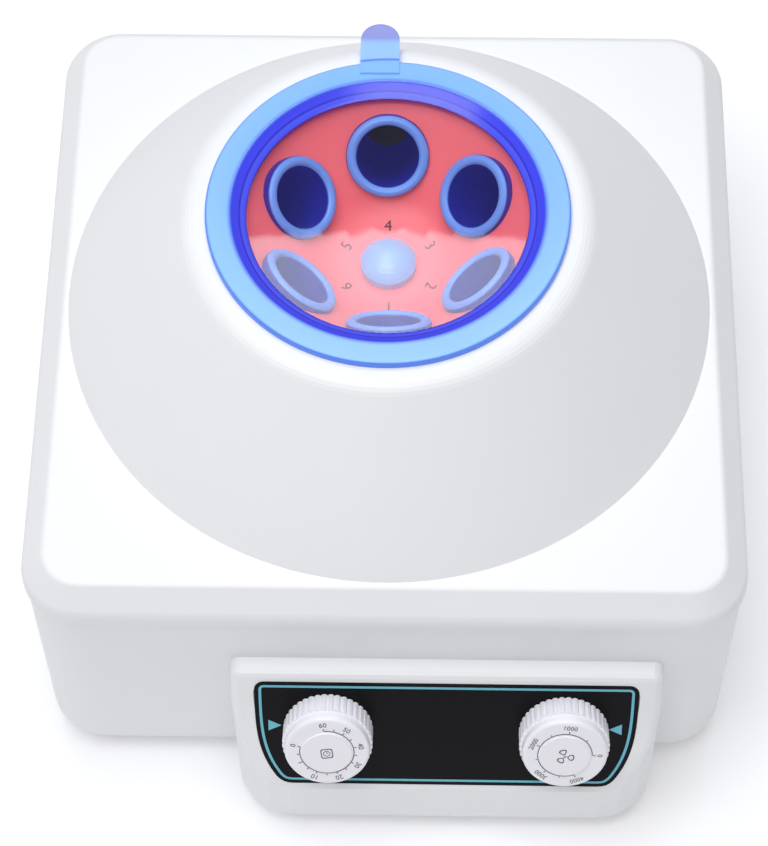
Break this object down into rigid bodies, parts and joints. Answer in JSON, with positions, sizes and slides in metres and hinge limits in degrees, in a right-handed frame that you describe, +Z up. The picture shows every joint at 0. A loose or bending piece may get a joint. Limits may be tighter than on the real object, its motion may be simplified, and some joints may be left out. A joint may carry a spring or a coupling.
{
  "type": "benchtop tube centrifuge",
  "caption": "Small square bench centrifuge: slanted tube sleeves on a motor-driven rotor under a hinged see-through lid, with a timer dial and a speed dial.",
  "frame": {"origin": "on the bench, under the rotor's axis", "axes": "+Z up along the rotor's axis, -Y to the front with the control pod, +Y to the hinge and the mains inlet, +X to the right seen from the front"},
  "size_m": [0.26, 0.3006, 0.1887],
  "materials": {
    "housing_plastic": "satin white ABS",
    "bowl_metal": "spun",
    "steel": "bright",
    "plate_metal": "zinc plated",
    "rubber_black": "matte",
    "rubber_grey": "matte",
    "fascia_black": "gloss with cyan lines",
    "rotor_red": "satin",
    "sleeve_blue": "satin",
    "cap_blue": "satin",
    "lid_blue": "translucent",
    "lid_clear": "clear acrylic",
    "knob_white": "satin",
    "copper": "wound copper",
    "iron": "laminated",
    "black_plastic": "moulded",
    "rocker_red": "gloss",
    "board_green": "solder mask",
    "carbon": "carbon",
    "brown_plastic": "phenolic"
  },
  "bodies": {
    "housing": {"base_tub": "housing_plastic", "tub_posts": "housing_plastic", "top_cover": "housing_plastic", "control_pod": "housing_plastic", "fascia": "fascia_black", "chamber_bowl": "bowl_metal", "bowl_gasket": "rubber_grey", "bowl_screws": "steel", "shaft_seal": "rubber_black", "motor_plate": "plate_metal", "plate_dampers": "rubber_black", "plate_screws": "steel", "motor_can": "plate_metal", "field_stator": "iron", "motor_top_cap": "bowl_metal", "motor_bottom_cap": "bowl_metal", "motor_screws": "steel", "top_bearing": "steel", "bottom_bearing": "steel", "brush_holders": "brown_plastic", "brushes": "carbon", "hinge_pin": "steel", "timer_mechanism": "plate_metal", "timer_nut": "steel", "speed_regulator": "plate_metal", "speed_nut": "steel", "power_inlet": "black_plastic", "inlet_pins": "steel", "fuse_holder": "black_plastic", "switch_bezel": "black_plastic", "circuit_board": "board_green", "board_parts": "black_plastic", "feet": "rubber_black", "foot_screws": "steel", "case_screws": "steel", "pod_screws": "steel"},
    "rotor": {"motor_shaft": "steel", "armature_core": "iron", "armature_winding": "copper", "commutator": "copper", "cooling_fan": "black_plastic", "rotor_body": "rotor_red", "rotor_cap": "cap_blue", "sleeve_pads": "rubber_grey", "tube_sleeve_1": "sleeve_blue", "tube_sleeve_2": "sleeve_blue", "tube_sleeve_3": "sleeve_blue", "tube_sleeve_4": "sleeve_blue", "tube_sleeve_5": "sleeve_blue", "tube_sleeve_6": "sleeve_blue"},
    "lid": {"lid_frame": "lid_blue", "lid_window": "lid_clear"},
    "timer_dial": {"timer_shaft": "steel", "timer_knob": "knob_white"},
    "speed_dial": {"speed_shaft": "steel", "speed_knob": "knob_white"},
    "power_rocker": {"switch_rocker": "rocker_red"}
  },
  "joints": [
    {"name": "rotor_spin", "type": "hinge", "parent": "housing", "child": "rotor", "pos_m": [0, 0, 0.1], "axis": [0, 0, 1], "continuous": true},
    {"name": "lid_hinge", "type": "hinge", "parent": "housing", "child": "lid", "pos_m": [-0.004, 0.0765, 0.1845], "axis": [-1, 0, 0], "range_deg": [0, 100]},
    {"name": "timer_turn", "type": "hinge", "parent": "housing", "child": "timer_dial", "pos_m": [-0.02025, -0.14616, 0.06317], "axis": [0, 0.9011, -0.4337], "range_deg": [0, 300]},
    {"name": "speed_turn", "type": "hinge", "parent": "housing", "child": "speed_dial", "pos_m": [0.06625, -0.14616, 0.06317], "axis": [0, 0.9011, -0.4337], "range_deg": [0, 280]},
    {"name": "rocker_tip", "type": "hinge", "parent": "housing", "child": "power_rocker", "pos_m": [0.022, 0.128, 0.042], "axis": [1, 0, 0], "range_deg": [0, 16]}
  ]
}
